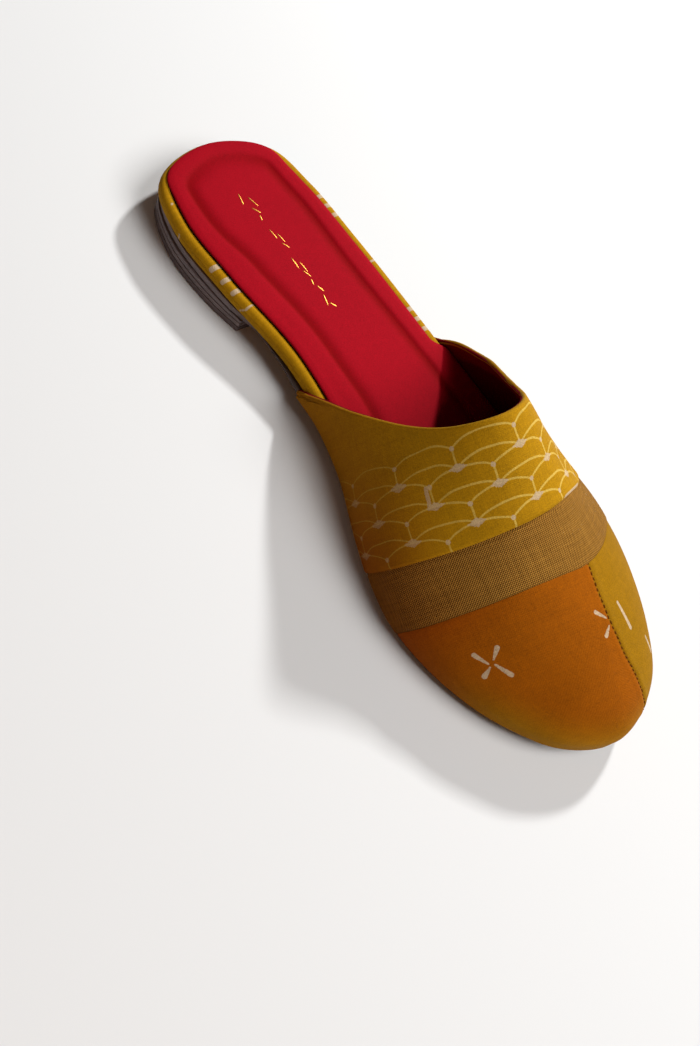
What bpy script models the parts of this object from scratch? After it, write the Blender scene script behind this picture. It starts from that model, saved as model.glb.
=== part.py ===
"""A low-heeled slipper (mule) for the left foot, empty and standing on its sole.

Frame: toe towards -Y, heel towards +Y, +Z up, the floor at Z = 0, the wearer's left at +X.
A place on the shoe is given by its station (distance forward from the back of the heel) and X.
"""

import math

import bmesh
import bpy

# Driving dimensions, in metres
LENGTH = 0.250              # platform, heel to toe
BALL_WIDTH = 0.0872         # platform at the ball
HEEL_WIDTH = 0.0592         # platform at the heel seat
HEEL_HEIGHT = 0.0067        # stacked heel, floor to outsole
TOP_PIECE_THICK = 0.0022    # wearing layer of the heel
LIFT_COUNT = 2              # leather lifts over the top piece
HEEL_BREAST = 0.0660        # station of the heel's front face
HEEL_INSET = 0.0013         # heel and outsole inside the rim at the back
OUTSOLE_THICK = 0.0026
TOE_SPRING = 0.0037
PLATFORM_THICK = 0.0050     # covered footbed
RIM_ROUND = 0.0022          # rounded upper edge of the covered footbed
SOCK_THICK = 0.0008
SOCK_MARGIN = 0.0037        # rim left bare around the sock
UPPER_WALL = 0.0018
INSTEP_HEIGHT = 0.0560      # ridge over the footbed's underside at the throat
TOE_BOX_HEIGHT = 0.0275     # ridge over the footbed's underside above the toes
THROAT = 0.1489             # station of the throat's middle
WING_TIP = 0.0975           # station of the throat's two lower corners
RIDGE_AT_THROAT = -0.0031   # X of the ridge line, at the throat and over the toes
RIDGE_AT_TOES = 0.0021
TOE_POINT = -0.0006         # X of the foremost point
SLACK_AT_THROAT = 0.1290    # how flat the side walls lean in, as a share: 0 is a quarter ellipse
SLACK_AT_TOES = 0.0290
GAP = 0.0003                # glue line between neighbouring pieces

# Stretches of the sole line, as shares of the length
HEEL_SEAT_END = 0.18
BALL_START = 0.66
BALL_END = 0.74

# Outline of the platform: share of length, middle line as a share of the ball width,
# half width as a share of the heel width's and of the ball width's half
OUTLINE = (
    (0.035, -0.076, 0.800, 0.000),
    (0.110, -0.071, 0.998, 0.000),
    (0.220, -0.037, 1.010, 0.000),
    (0.360, 0.027, 0.800, 0.115),
    (0.500, 0.044, 0.400, 0.458),
    (0.620, 0.016, 0.080, 0.830),
    (0.720, 0.012, 0.000, 1.000),
    (0.820, 0.016, 0.000, 0.925),
    (0.910, 0.016, 0.000, 0.697),
    (0.970, 0.017, 0.000, 0.429),
)
HEEL_POINT_SHARE = -0.070   # middle line at the very back, as a share of the ball width

# Ridge height: share of length, place between toe box height (0) and instep height (1)
RIDGE = (
    (0.36, 1.38),
    (0.50, 1.08),
    (0.60, 1.00),
    (0.70, 0.54),
    (0.80, 0.21),
    (0.90, 0.00),
    (1.02, -0.22),
)

# Throat edge: rise around the section (0 sole, 1 ridge), advance from wing tip to throat.
# The last row mirrors the one before the ridge, so that the edge runs smoothly across.
THROAT_EDGE = (
    (0.000, 0.00),
    (0.062, 0.08),
    (0.255, 0.41),
    (0.496, 0.70),
    (0.760, 0.92),
    (1.000, 1.00),
    (1.240, 0.92),
)

# Fineness of the meshes
OUTLINE_STEPS = 6           # points between two rows of the outline table
UPPER_COLUMNS = 44          # from throat to toe, each side
UPPER_ROWS = 16             # from sole to ridge, each side
ROUND_STEPS = 3             # around the rim's rounded edge

# Worked out from the sizes above
SEAT_AT_BALL = OUTSOLE_THICK + GAP
SPINE_BEND = 0.600 * LENGTH     # station from which the ridge lags behind the feet of the sections
SPINE_REACH = 0.264 * LENGTH    # how far the ridge runs on from there
POLE_RADIUS = 0.0006            # sections that end nearer to the ridge's end meet in one point
UPPER_OFFSET = GAP + UPPER_WALL     # outer face of the upper, outside the platform
SIDE_HEIGHT = PLATFORM_THICK - RIM_ROUND / 2    # upright stretch of the upper beside the platform
SIDE_SHARE = 1 / UPPER_ROWS         # its share of the rise: the first row


def hermite(table, column, at):
    """Read a table's column at a share of its first column, as a smooth curve."""
    rows = [(row[0], row[column]) for row in table]
    at = min(max(at, rows[0][0]), rows[-1][0])
    last = len(rows) - 1
    i = max(k for k in range(last) if rows[k][0] <= at)
    slopes = []
    for k in (i, i + 1):
        low, high = rows[max(k - 1, 0)], rows[min(k + 1, last)]
        slopes.append((high[1] - low[1]) / (high[0] - low[0]))
    span = rows[i + 1][0] - rows[i][0]
    s = (at - rows[i][0]) / span
    value = (2 * s**3 - 3 * s**2 + 1) * rows[i][1]
    value += (s**3 - 2 * s**2 + s) * span * slopes[0]
    value += (3 * s**2 - 2 * s**3) * rows[i + 1][1]
    value += (s**3 - s**2) * span * slopes[1]
    return value


def smooth_step(share):
    """Ease from 0 to 1."""
    share = min(max(share, 0.0), 1.0)
    return share * share * (3 - 2 * share)


def seat(station):
    """Height of the platform's underside over the floor."""
    t = station / LENGTH
    heel = smooth_step((BALL_START - t) / (BALL_START - HEEL_SEAT_END))
    toe = max(t - BALL_END, 0.0) / (1 - BALL_END)
    return SEAT_AT_BALL + HEEL_HEIGHT * heel + TOE_SPRING * toe * toe


def ridge_height(station):
    """Height of the upper's ridge over the platform's underside."""
    share = hermite(RIDGE, 1, station / LENGTH)
    return TOE_BOX_HEIGHT + (INSTEP_HEIGHT - TOE_BOX_HEIGHT) * share


def ridge_x(station):
    """X of the upper's ridge line."""
    share = (station / LENGTH - 0.5) / 0.4
    share = min(max(share, 0.0), 1.2)
    return RIDGE_AT_THROAT + (RIDGE_AT_TOES - RIDGE_AT_THROAT) * share


def rounded_loop(points, steps):
    """A closed smooth curve through the points (centripetal, so that tight turns don't loop)."""
    count = len(points)
    curve = []
    for i in range(count):
        p = [points[(i + k - 1) % count] for k in range(4)]
        d = [math.sqrt(math.dist(p[k], p[k + 1])) for k in range(3)]
        m1 = []
        m2 = []
        for a in range(2):
            step0, step1, step2 = (p[k + 1][a] - p[k][a] for k in range(3))
            m1.append((step0 / d[0] - (step0 + step1) / (d[0] + d[1])) * d[1] + step1)
            m2.append((step2 / d[2] - (step1 + step2) / (d[1] + d[2])) * d[1] + step1)
        for k in range(steps):
            s = k / steps
            h = (2 * s**3 - 3 * s**2 + 1, s**3 - 2 * s**2 + s, 3 * s**2 - 2 * s**3, s**3 - s**2)
            curve.append(tuple(h[0] * p[1][a] + h[1] * m1[a] + h[2] * p[2][a] + h[3] * m2[a]
                               for a in range(2)))
    return curve


def platform_outline():
    """The platform's outline as (station, X): back of the heel, +X side, toe, -X side."""
    sides = {}
    for side in (1, -1):
        sides[side] = []
        for t, middle, heel_share, ball_share in OUTLINE:
            half = heel_share * HEEL_WIDTH / 2 + ball_share * BALL_WIDTH / 2
            sides[side].append((t * LENGTH, middle * BALL_WIDTH + side * half))
    heel_point = (0.0, HEEL_POINT_SHARE * BALL_WIDTH)
    toe_point = (LENGTH, TOE_POINT)
    corners = [heel_point] + sides[1] + [toe_point] + sides[-1][::-1]
    return rounded_loop(corners, OUTLINE_STEPS)


def offset_loop(loop, distance):
    """Move a loop outwards along its normals; distance is a number or a function of the station."""
    moved = []
    count = len(loop)
    for i, (station, x) in enumerate(loop):
        before, after = loop[i - 1], loop[(i + 1) % count]
        along = (after[0] - before[0], after[1] - before[1])
        size = math.hypot(*along)
        reach = distance(station) if callable(distance) else distance
        moved.append((station - along[1] / size * reach, x + along[0] / size * reach))
    return moved


def outsole_reach(station):
    """How far the outsole stands outside the platform: in at the heel, out under the upper."""
    past_heel = smooth_step(station / HEEL_BREAST - 0.5)
    under_upper = smooth_step((station - HEEL_BREAST) / (WING_TIP - HEEL_BREAST))
    return HEEL_INSET * (past_heel - 1) + UPPER_OFFSET * under_upper


def footprint_middle(loop):
    """The middle of the shoe's footprint, as X and Y before the shoe is centred on the frame."""
    footprint = loop + offset_loop(loop, outsole_reach)
    xs = [x for station, x in footprint]
    ys = [LENGTH / 2 - station for station, x in footprint]
    return (min(xs) + max(xs)) / 2, (min(ys) + max(ys)) / 2


def heel_loop(loop, breast):
    """The part of a loop behind the heel's front face, its ends cut square on that face."""
    count = len(loop)
    half = count // 2
    plus = [p for p in loop[:half] if p[0] < breast]
    minus = [p for p in loop[half:] if p[0] < breast]
    next_plus = loop[len(plus)]
    next_minus = loop[count - len(minus) - 1]
    ends = []
    for inner, outer in ((plus[-1], next_plus), (minus[0], next_minus)):
        share = (breast - inner[0]) / (outer[0] - inner[0])
        ends.append((breast, inner[1] + (outer[1] - inner[1]) * share))
    return plus + [ends[0]], [ends[1]] + minus


def place(station, x, z):
    """A point of the shoe in the frame of the part."""
    return (x, LENGTH / 2 - station, z)


def finish_mesh(name, mesh_builder, material, collection):
    """Turn a bmesh into a named object with its material."""
    bmesh.ops.recalc_face_normals(mesh_builder, faces=mesh_builder.faces)
    mesh = bpy.data.meshes.new(name)
    mesh_builder.to_mesh(mesh)
    mesh_builder.free()
    mesh.materials.append(material)
    mesh.shade_smooth()
    mesh.set_sharp_from_angle(angle=math.radians(35))
    shoe_piece = bpy.data.objects.new(name, mesh)
    collection.objects.link(shoe_piece)
    return shoe_piece


def stacked_rings(name, rings, material, collection):
    """A closed solid through rings of points, capped by strips from side to side.

    Every ring runs from the heel along +X to the toe and back along -X.
    """
    builder = bmesh.new()
    layers = [[builder.verts.new(place(*point)) for point in ring] for ring in rings]
    count = len(rings[0])
    for lower, upper in zip(layers, layers[1:]):
        for i in range(count):
            j = (i + 1) % count
            builder.faces.new((lower[i], lower[j], upper[j], upper[i]))
    for layer in (layers[0], layers[-1]):
        near, far = 0, count
        while far - near > 1:
            corners = (layer[near], layer[near + 1], layer[far - 1], layer[far % count])
            unique = list(dict.fromkeys(corners))
            builder.faces.new(unique)
            near, far = near + 1, far - 1
    return finish_mesh(name, builder, material, collection)


def ring_at(loop, height):
    """Give each point of a loop its height over the platform's underside."""
    return [(station, x, seat(min(max(station, 0.0), LENGTH)) + height) for station, x in loop]


def build_platform(loop, material, collection):
    """The covered footbed: straight sides and a rounded upper edge."""
    rings = [ring_at(offset_loop(loop, -RIM_ROUND / 3), 0.0)]
    rings.append(ring_at(loop, RIM_ROUND / 3))
    for k in range(ROUND_STEPS + 1):
        angle = math.pi / 2 * k / ROUND_STEPS
        inset = RIM_ROUND * (1 - math.cos(angle))
        height = PLATFORM_THICK - RIM_ROUND * (1 - math.sin(angle))
        rings.append(ring_at(offset_loop(loop, -inset), height))
    return stacked_rings("platform", rings, material, collection)


def build_sock(loop, material, collection):
    """The thin sock on top of the footbed."""
    inside = offset_loop(loop, -SOCK_MARGIN)
    bottom = PLATFORM_THICK + GAP
    rings = [ring_at(inside, bottom), ring_at(inside, bottom + SOCK_THICK)]
    return stacked_rings("sock", rings, material, collection)


def build_outsole(loop, material, collection):
    """The thin outsole, which follows arch and toe spring."""
    outside = offset_loop(loop, outsole_reach)
    rings = [ring_at(outside, -GAP - OUTSOLE_THICK), ring_at(outside, -GAP)]
    return stacked_rings("outsole", rings, material, collection)


def build_heel(loop, materials, collection):
    """The top piece on the floor and the lifts over it, up to the outsole."""
    plus, minus = heel_loop(offset_loop(loop, -HEEL_INSET), HEEL_BREAST)
    heel = plus + minus
    lift_room = HEEL_HEIGHT - TOP_PIECE_THICK - GAP
    lift_thick = lift_room / LIFT_COUNT - GAP

    def flat_ring(z):
        return [(station, x, z) for station, x in heel]

    rings = [flat_ring(0.0), flat_ring(TOP_PIECE_THICK)]
    pieces = [stacked_rings("heel_top_piece", rings, materials[0], collection)]
    bottom = TOP_PIECE_THICK + GAP
    for k in range(LIFT_COUNT):
        top_ring = flat_ring(bottom + lift_thick)
        if k == LIFT_COUNT - 1:
            top_ring = [(s, x, seat(s) - SEAT_AT_BALL - GAP) for s, x in heel]
        pieces.append(stacked_rings(f"heel_lift_{k + 1}", [flat_ring(bottom), top_ring],
                                    materials[1], collection))
        bottom += lift_thick + GAP
    return pieces


def side_feet(loop, side):
    """Feet of the upper's sections on one side, from behind the wing tip to the toe, with lengths."""
    outside = offset_loop(loop, UPPER_OFFSET)
    half = len(outside) // 2
    feet = outside[:half + 1] if side > 0 else [outside[0]] + outside[:half - 1:-1]
    lengths = [0.0]
    for a, b in zip(feet, feet[1:]):
        lengths.append(lengths[-1] + math.dist(a, b))
    return feet, lengths


def along_feet(feet, lengths, run):
    """The foot point at a length along one side."""
    for i in range(len(feet) - 1):
        if run <= lengths[i + 1] or i == len(feet) - 2:
            share = (run - lengths[i]) / (lengths[i + 1] - lengths[i])
            share = min(max(share, 0.0), 1.0)
            return tuple(feet[i][a] + (feet[i + 1][a] - feet[i][a]) * share for a in range(2))


def run_at_station(feet, lengths, station):
    """The length along one side at which its feet reach a station."""
    for i in range(len(feet) - 1):
        if feet[i + 1][0] >= station:
            share = (station - feet[i][0]) / (feet[i + 1][0] - feet[i][0])
            return lengths[i] + (lengths[i + 1] - lengths[i]) * share


def spine_station(foot_station):
    """Where a section that starts at a foot meets the ridge: towards the toe it lags behind."""
    lag = max(foot_station - SPINE_BEND, 0.0)
    turn = min(lag / SPINE_REACH, math.pi / 2)
    return min(foot_station, SPINE_BEND) + SPINE_REACH * math.sin(turn)


def section_point(foot, spine, rise):
    """A point of the upper's outer face: rise runs from 0 at the sole to 1 on the ridge."""
    foot_station, foot_x = foot
    angle = max(rise - SIDE_SHARE, 0.0) / (1 - SIDE_SHARE) * math.pi / 2
    towards_toes = smooth_step((spine - THROAT) / SPINE_REACH)
    slack = SLACK_AT_THROAT + (SLACK_AT_TOES - SLACK_AT_THROAT) * towards_toes
    fullness = 1 - slack * math.sin(2 * angle) ** 2
    out = math.cos(angle) * fullness if rise < 1 else 0.0
    up = math.sin(angle) * fullness
    station = spine + (foot_station - spine) * out
    middle = ridge_x(spine)
    x = middle + (foot_x - middle) * out
    height = SIDE_HEIGHT * min(rise / SIDE_SHARE, 1.0)
    height += (ridge_height(station) - SIDE_HEIGHT) * up
    return station, x, seat(min(station, LENGTH)) + height


def upper_vertices(loop, builder):
    """The vertices of the upper's outer face by side, row and column, shared on ridge and toe."""
    sides = {side: side_feet(loop, side) for side in (1, -1)}
    toe_end = spine_station(LENGTH + UPPER_OFFSET)
    pole = None
    grid = {}
    for r in range(UPPER_ROWS + 1):
        rise = r / UPPER_ROWS
        start = WING_TIP + (THROAT - WING_TIP) * hermite(THROAT_EDGE, 1, rise)
        first = {side: run_at_station(*sides[side], start) for side in sides}
        for c in range(UPPER_COLUMNS + 1):
            feet = {}
            for side, (points, lengths) in sides.items():
                run = first[side] + (lengths[-1] - first[side]) * c / UPPER_COLUMNS
                feet[side] = along_feet(points, lengths, run)
            spine = spine_station((feet[1][0] + feet[-1][0]) / 2)
            on_pole = r == UPPER_ROWS and toe_end - spine < POLE_RADIUS
            if on_pole:
                spine = toe_end
            if on_pole and pole is None:
                pole = builder.verts.new(place(*section_point(feet[1], spine, rise)))
            for side in sides:
                shared = side < 0 and (r == UPPER_ROWS or c == UPPER_COLUMNS)
                if on_pole:
                    grid[side, r, c] = pole
                elif shared:
                    grid[side, r, c] = grid[1, r, c]
                else:
                    grid[side, r, c] = builder.verts.new(
                        place(*section_point(feet[side], spine, rise)))
    return grid


def build_upper(loop, material, collection):
    """The upper: sections from sole to ridge, closed at the toe, open at the throat and below."""
    builder = bmesh.new()
    grid = upper_vertices(loop, builder)
    for side in (1, -1):
        for r in range(UPPER_ROWS):
            for c in range(UPPER_COLUMNS):
                around = ((r, c), (r, c + 1), (r + 1, c + 1), (r + 1, c))
                corners = list(dict.fromkeys(grid[side, row, column] for row, column in around))
                builder.faces.new(corners if side < 0 else corners[::-1])
    upper = finish_mesh("upper", builder, material, collection)
    wall = upper.modifiers.new("wall", "SOLIDIFY")
    wall.thickness = UPPER_WALL
    wall.offset = -1.0
    wall.use_even_offset = True
    wall.use_rim = True
    return upper


def make_material(name, colour, roughness):
    """A plain finish."""
    material = bpy.data.materials.new(name)
    material.use_nodes = True
    shader = material.node_tree.nodes["Principled BSDF"]
    shader.inputs["Base Color"].default_value = (*colour, 1.0)
    shader.inputs["Roughness"].default_value = roughness
    shader.inputs["Metallic"].default_value = 0.0
    return material


def main():
    for leftover in list(bpy.data.objects):
        bpy.data.objects.remove(leftover, do_unlink=True)
    collection = bpy.data.collections.new("slipper")
    bpy.context.scene.collection.children.link(collection)
    loop = platform_outline()
    centre = bpy.data.objects.new("slipper_centre", None)
    middle_x, middle_y = footprint_middle(loop)
    centre.location = (-middle_x, -middle_y, 0.0)
    collection.objects.link(centre)
    pieces = build_heel(
        loop,
        (make_material("heel_rubber", (0.05, 0.042, 0.042), 0.7),
         make_material("heel_leather", (0.075, 0.06, 0.058), 0.6)),
        collection,
    )
    pieces.append(build_outsole(loop, make_material("outsole_leather", (0.04, 0.03, 0.028), 0.6),
                                collection))
    pieces.append(build_platform(loop, make_material("rim_cotton", (0.50, 0.26, 0.02), 0.85),
                                 collection))
    pieces.append(build_sock(loop, make_material("sock_leather", (0.40, 0.01, 0.02), 0.6),
                             collection))
    pieces.append(build_upper(loop, make_material("upper_cotton", (0.50, 0.26, 0.02), 0.85),
                              collection))
    for piece in pieces:
        piece.parent = centre


main()
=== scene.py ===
"""The looks of a low-heeled slipper (mule) for the left foot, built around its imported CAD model.

Frame as in the CAD: toe towards -Y, heel towards +Y, +Z up, the wearer's left at +X.
A place on the shoe is given by its station (distance forward from the back of the heel) and X.
A place on the upper is given by around (-1 inner sole edge, 0 ridge, 1 outer sole edge)
and along (0 throat edge, 1 toe).
"""

import math

import bpy
import numpy as np
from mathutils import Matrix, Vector


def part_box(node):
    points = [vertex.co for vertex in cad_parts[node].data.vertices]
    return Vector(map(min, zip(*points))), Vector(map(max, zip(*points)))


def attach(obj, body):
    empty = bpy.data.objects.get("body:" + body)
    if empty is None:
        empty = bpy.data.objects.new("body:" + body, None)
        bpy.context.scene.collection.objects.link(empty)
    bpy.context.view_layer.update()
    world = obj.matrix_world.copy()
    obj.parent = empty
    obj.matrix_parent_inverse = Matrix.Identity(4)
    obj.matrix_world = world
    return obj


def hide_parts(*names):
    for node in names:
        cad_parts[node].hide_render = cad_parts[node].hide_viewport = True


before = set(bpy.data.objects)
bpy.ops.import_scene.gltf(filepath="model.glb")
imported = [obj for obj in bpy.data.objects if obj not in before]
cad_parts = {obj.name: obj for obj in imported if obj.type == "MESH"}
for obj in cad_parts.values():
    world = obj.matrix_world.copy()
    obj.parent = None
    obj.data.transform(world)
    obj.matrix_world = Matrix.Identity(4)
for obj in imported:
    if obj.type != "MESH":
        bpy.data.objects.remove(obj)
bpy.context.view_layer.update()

MM = 0.001

# Sizes of the shoe, as in its CAD source, in metres
LENGTH = 0.250
BALL_WIDTH = 0.0872
HEEL_WIDTH = 0.0592
HEEL_HEIGHT = 0.0067
OUTSOLE_THICK = 0.0026
TOE_SPRING = 0.0037
PLATFORM_THICK = 0.0050
RIM_ROUND = 0.0022
UPPER_WALL = 0.0018
INSTEP_HEIGHT = 0.0560
TOE_BOX_HEIGHT = 0.0275
THROAT = 0.1489
WING_TIP = 0.0975
RIDGE_AT_THROAT = -0.0031
RIDGE_AT_TOES = 0.0021
TOE_POINT = -0.0006
SLACK_AT_THROAT = 0.1290
SLACK_AT_TOES = 0.0290
GAP = 0.0003
HEEL_SEAT_END = 0.18
BALL_START = 0.66
BALL_END = 0.74
HEEL_POINT_SHARE = -0.070

# Share of length, middle as a share of ball width, heel and ball shares of half width
OUTLINE = (
    (0.035, -0.076, 0.800, 0.000),
    (0.110, -0.071, 0.998, 0.000),
    (0.220, -0.037, 1.010, 0.000),
    (0.360, 0.027, 0.800, 0.115),
    (0.500, 0.044, 0.400, 0.458),
    (0.620, 0.016, 0.080, 0.830),
    (0.720, 0.012, 0.000, 1.000),
    (0.820, 0.016, 0.000, 0.925),
    (0.910, 0.016, 0.000, 0.697),
    (0.970, 0.017, 0.000, 0.429),
)
# Share of length, ridge height between toe box height (0) and instep height (1)
RIDGE = ((0.36, 1.38), (0.50, 1.08), (0.60, 1.00), (0.70, 0.54), (0.80, 0.21), (0.90, 0.00),
         (1.02, -0.22))
# Rise around the section, advance from wing tip to throat
THROAT_EDGE = ((0.000, 0.00), (0.062, 0.08), (0.255, 0.41), (0.496, 0.70), (0.760, 0.92),
               (1.000, 1.00), (1.240, 0.92))
OUTLINE_STEPS = 40
SEAT_AT_BALL = OUTSOLE_THICK + GAP
SPINE_BEND = 0.600 * LENGTH
SPINE_REACH = 0.264 * LENGTH
UPPER_OFFSET = GAP + UPPER_WALL
SIDE_HEIGHT = PLATFORM_THICK - RIM_ROUND / 2
SIDE_SHARE = 1 / 16

# Seams across the upper: around, station in mm
BAND_SEAM = ((-1.0, 163.0), (-0.74, 169.2), (-0.45, 174.8), (-0.16, 178.7), (0.02, 179.5),
             (0.22, 177.8), (0.47, 175.2), (0.75, 170.0), (1.0, 164.0))
LINEN_SEAM = ((-1.0, 185.0), (-0.65, 190.8), (-0.44, 193.9), (-0.22, 196.8), (0.0, 199.3),
              (0.12, 199.9), (0.29, 197.6), (0.55, 191.8), (0.8, 188.0), (1.0, 185.0))
# Seam between the two toe panels: station, X in mm
TOE_SEAM = ((196.0, 9.6), (201.0, 9.2), (209.0, 7.8), (218.5, 6.4), (229.0, 6.6), (237.0, 8.7),
            (246.5, 11.2), (254.0, 13.0))


def curve(table, at):
    """Read a two-column table as a smooth curve."""
    rows = np.array(table, float)
    x, y = rows[:, 0], rows[:, 1]
    at = np.clip(np.asarray(at, float), x[0], x[-1])
    slope = np.empty(len(x))
    slope[1:-1] = (y[2:] - y[:-2]) / (x[2:] - x[:-2])
    slope[0] = (y[1] - y[0]) / (x[1] - x[0])
    slope[-1] = (y[-1] - y[-2]) / (x[-1] - x[-2])
    i = np.clip(np.searchsorted(x, at, side="right") - 1, 0, len(x) - 2)
    span = x[i + 1] - x[i]
    s = (at - x[i]) / span
    value = (2 * s**3 - 3 * s**2 + 1) * y[i] + (s**3 - 2 * s**2 + s) * span * slope[i]
    return value + (3 * s**2 - 2 * s**3) * y[i + 1] + (s**3 - s**2) * span * slope[i + 1]


def ease(share):
    """A share from 0 to 1, softened at both ends."""
    share = np.clip(share, 0.0, 1.0)
    return share * share * (3 - 2 * share)


def seat(station):
    """Height of the platform's underside over the floor."""
    t = np.clip(station, 0, LENGTH) / LENGTH
    heel = ease((BALL_START - t) / (BALL_START - HEEL_SEAT_END))
    toe = np.maximum(t - BALL_END, 0) / (1 - BALL_END)
    return SEAT_AT_BALL + HEEL_HEIGHT * heel + TOE_SPRING * toe**2


def ridge_height(station):
    """Height of the upper's ridge over the platform's underside."""
    return TOE_BOX_HEIGHT + (INSTEP_HEIGHT - TOE_BOX_HEIGHT) * curve(RIDGE, station / LENGTH)


def ridge_x(station):
    """Where the upper's ridge lies, sideways."""
    share = np.clip((station / LENGTH - 0.5) / 0.4, 0, 1.2)
    return RIDGE_AT_THROAT + (RIDGE_AT_TOES - RIDGE_AT_THROAT) * share


def rounded_loop(points, steps):
    """A closed smooth curve through the points."""
    corners = np.array(points, float)
    p0, p1, p2, p3 = (np.roll(corners, 1 - k, axis=0) for k in range(4))
    d0, d1, d2 = (np.sqrt(np.linalg.norm(b - a, axis=1))[:, None]
                  for a, b in ((p0, p1), (p1, p2), (p2, p3)))
    e0, e1, e2 = p1 - p0, p2 - p1, p3 - p2
    m1 = ((e0 / d0 - (e0 + e1) / (d0 + d1)) * d1 + e1)[:, None]
    m2 = ((e2 / d2 - (e1 + e2) / (d1 + d2)) * d1 + e1)[:, None]
    s = (np.arange(steps) / steps)[None, :, None]
    bent = (2 * s**3 - 3 * s**2 + 1) * p1[:, None] + (s**3 - 2 * s**2 + s) * m1
    bent = bent + (3 * s**2 - 2 * s**3) * p2[:, None] + (s**3 - s**2) * m2
    return bent.reshape(-1, 2)


def platform_outline():
    """The platform's outline as (station, X): heel, +X side, toe, -X side."""
    sides = {}
    for side in (1, -1):
        sides[side] = [(t * LENGTH, m * BALL_WIDTH + side * (h * HEEL_WIDTH + b * BALL_WIDTH) / 2)
                       for t, m, h, b in OUTLINE]
    heel_point = (0.0, HEEL_POINT_SHARE * BALL_WIDTH)
    corners = [heel_point] + sides[1] + [(LENGTH, TOE_POINT)] + sides[-1][::-1]
    return rounded_loop(corners, OUTLINE_STEPS)


def offset_loop(line, distance):
    """Move a closed line outwards."""
    ahead = np.roll(line, -1, axis=0) - np.roll(line, 1, axis=0)
    ahead = ahead / np.linalg.norm(ahead, axis=1)[:, None]
    return line + np.stack([-ahead[:, 1], ahead[:, 0]], 1) * distance


# The outline from the back of the heel round by +X
FOOTBED_EDGE = platform_outline()
HALF_WAY = len(FOOTBED_EDGE) // 2
HEEL_BACK = 6           # points at the back of the heel, across which the stations turn back
platform_low, platform_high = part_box("platform")
# From the outline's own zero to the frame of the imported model
edge_low, edge_high = FOOTBED_EDGE.min(0), FOOTBED_EDGE.max(0)
SHIFT_X = (platform_low.x + platform_high.x - edge_low[1] - edge_high[1]) / 2
SHIFT_Y = (platform_low.y + platform_high.y) / 2 - (LENGTH - edge_low[0] - edge_high[0]) / 2


def place(station, x, z):
    """A point of the shoe in the frame of the part."""
    return np.stack([x + SHIFT_X, LENGTH / 2 - station + SHIFT_Y, z], -1)


def station_of(points):
    """The stations of points in the frame of the part."""
    return LENGTH / 2 - points[..., 1] + SHIFT_Y


def run_along(points):
    """The length run so far at each point of a line."""
    return np.r_[0, np.cumsum(np.linalg.norm(np.diff(points, axis=0), axis=1))]


def upper_feet():
    """Feet of the upper's sections on each side, heel to toe, with the length run so far."""
    outside = offset_loop(FOOTBED_EDGE, UPPER_OFFSET)
    sides = {1: outside[:HALF_WAY + 1],
             -1: np.vstack([outside[:1], outside[:HALF_WAY - 1:-1]])}
    return {side: (points, run_along(points)) for side, points in sides.items()}


FEET = upper_feet()


def upper_point(around, along):
    """Points of the upper's outer face."""
    around, along = np.broadcast_arrays(np.asarray(around, float), np.asarray(along, float))
    rise = 1 - np.abs(around)
    start = WING_TIP + (THROAT - WING_TIP) * curve(THROAT_EDGE, rise)
    foot = {}
    for side, (points, run) in FEET.items():
        front = np.argmax(points[:, 0])
        first = np.interp(start, points[HEEL_BACK:front + 1, 0], run[HEEL_BACK:front + 1])
        at = first + (run[-1] - first) * along
        foot[side] = (np.interp(at, run, points[:, 0]), np.interp(at, run, points[:, 1]))
    mean = (foot[1][0] + foot[-1][0]) / 2
    turn = np.minimum(np.maximum(mean - SPINE_BEND, 0) / SPINE_REACH, math.pi / 2)
    spine = np.minimum(mean, SPINE_BEND) + SPINE_REACH * np.sin(turn)
    foot_station = np.where(around >= 0, foot[1][0], foot[-1][0])
    foot_x = np.where(around >= 0, foot[1][1], foot[-1][1])
    angle = np.maximum(rise - SIDE_SHARE, 0) / (1 - SIDE_SHARE) * math.pi / 2
    towards_toes = ease((spine - THROAT) / SPINE_REACH)
    slack = SLACK_AT_THROAT + (SLACK_AT_TOES - SLACK_AT_THROAT) * towards_toes
    fullness = 1 - slack * np.sin(2 * angle) ** 2
    out, up = np.cos(angle) * fullness, np.sin(angle) * fullness
    station = spine + (foot_station - spine) * out
    middle = ridge_x(spine)
    x = middle + (foot_x - middle) * out
    height = SIDE_HEIGHT * np.minimum(rise / SIDE_SHARE, 1)
    height = height + (ridge_height(station) - SIDE_HEIGHT) * up
    return place(station, x, seat(station) + height)


def along_at(around, station):
    """Where on each section of the upper a station lies, as its along."""
    tries = np.linspace(0, 1, 600)
    found = []
    for a, wanted in zip(around, station):
        stations = station_of(upper_point(np.full_like(tries, a), tries))
        found.append(np.interp(wanted, np.maximum.accumulate(stations), tries))
    return np.array(found)


# Modelling by hand

def only(piece):
    """Select one piece and nothing else."""
    bpy.ops.object.select_all(action="DESELECT")
    piece.select_set(True)
    bpy.context.view_layer.objects.active = piece


def read_vertices(piece, what):
    values = np.empty(len(piece.data.vertices) * 3, np.float32)
    piece.data.vertices.foreach_get(what, values)
    return values.reshape(-1, 3).astype(float)


def read_points(piece):
    return read_vertices(piece, "co")


def read_normals(piece):
    return read_vertices(piece, "normal")


def set_points(piece, points):
    piece.data.vertices.foreach_set("co", np.asarray(points, np.float32).ravel())
    piece.data.update()


def note(piece, name, values):
    """Keep a number for each point of a piece."""
    layer = piece.data.attributes.get(name)
    layer = layer or piece.data.attributes.new(name, "FLOAT", "POINT")
    layer.data.foreach_set("value", np.asarray(values, np.float32))


def noted(piece, name):
    """Read the numbers kept by note."""
    values = np.empty(len(piece.data.vertices), np.float32)
    piece.data.attributes[name].data.foreach_get("value", values)
    return values.astype(float)


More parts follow.
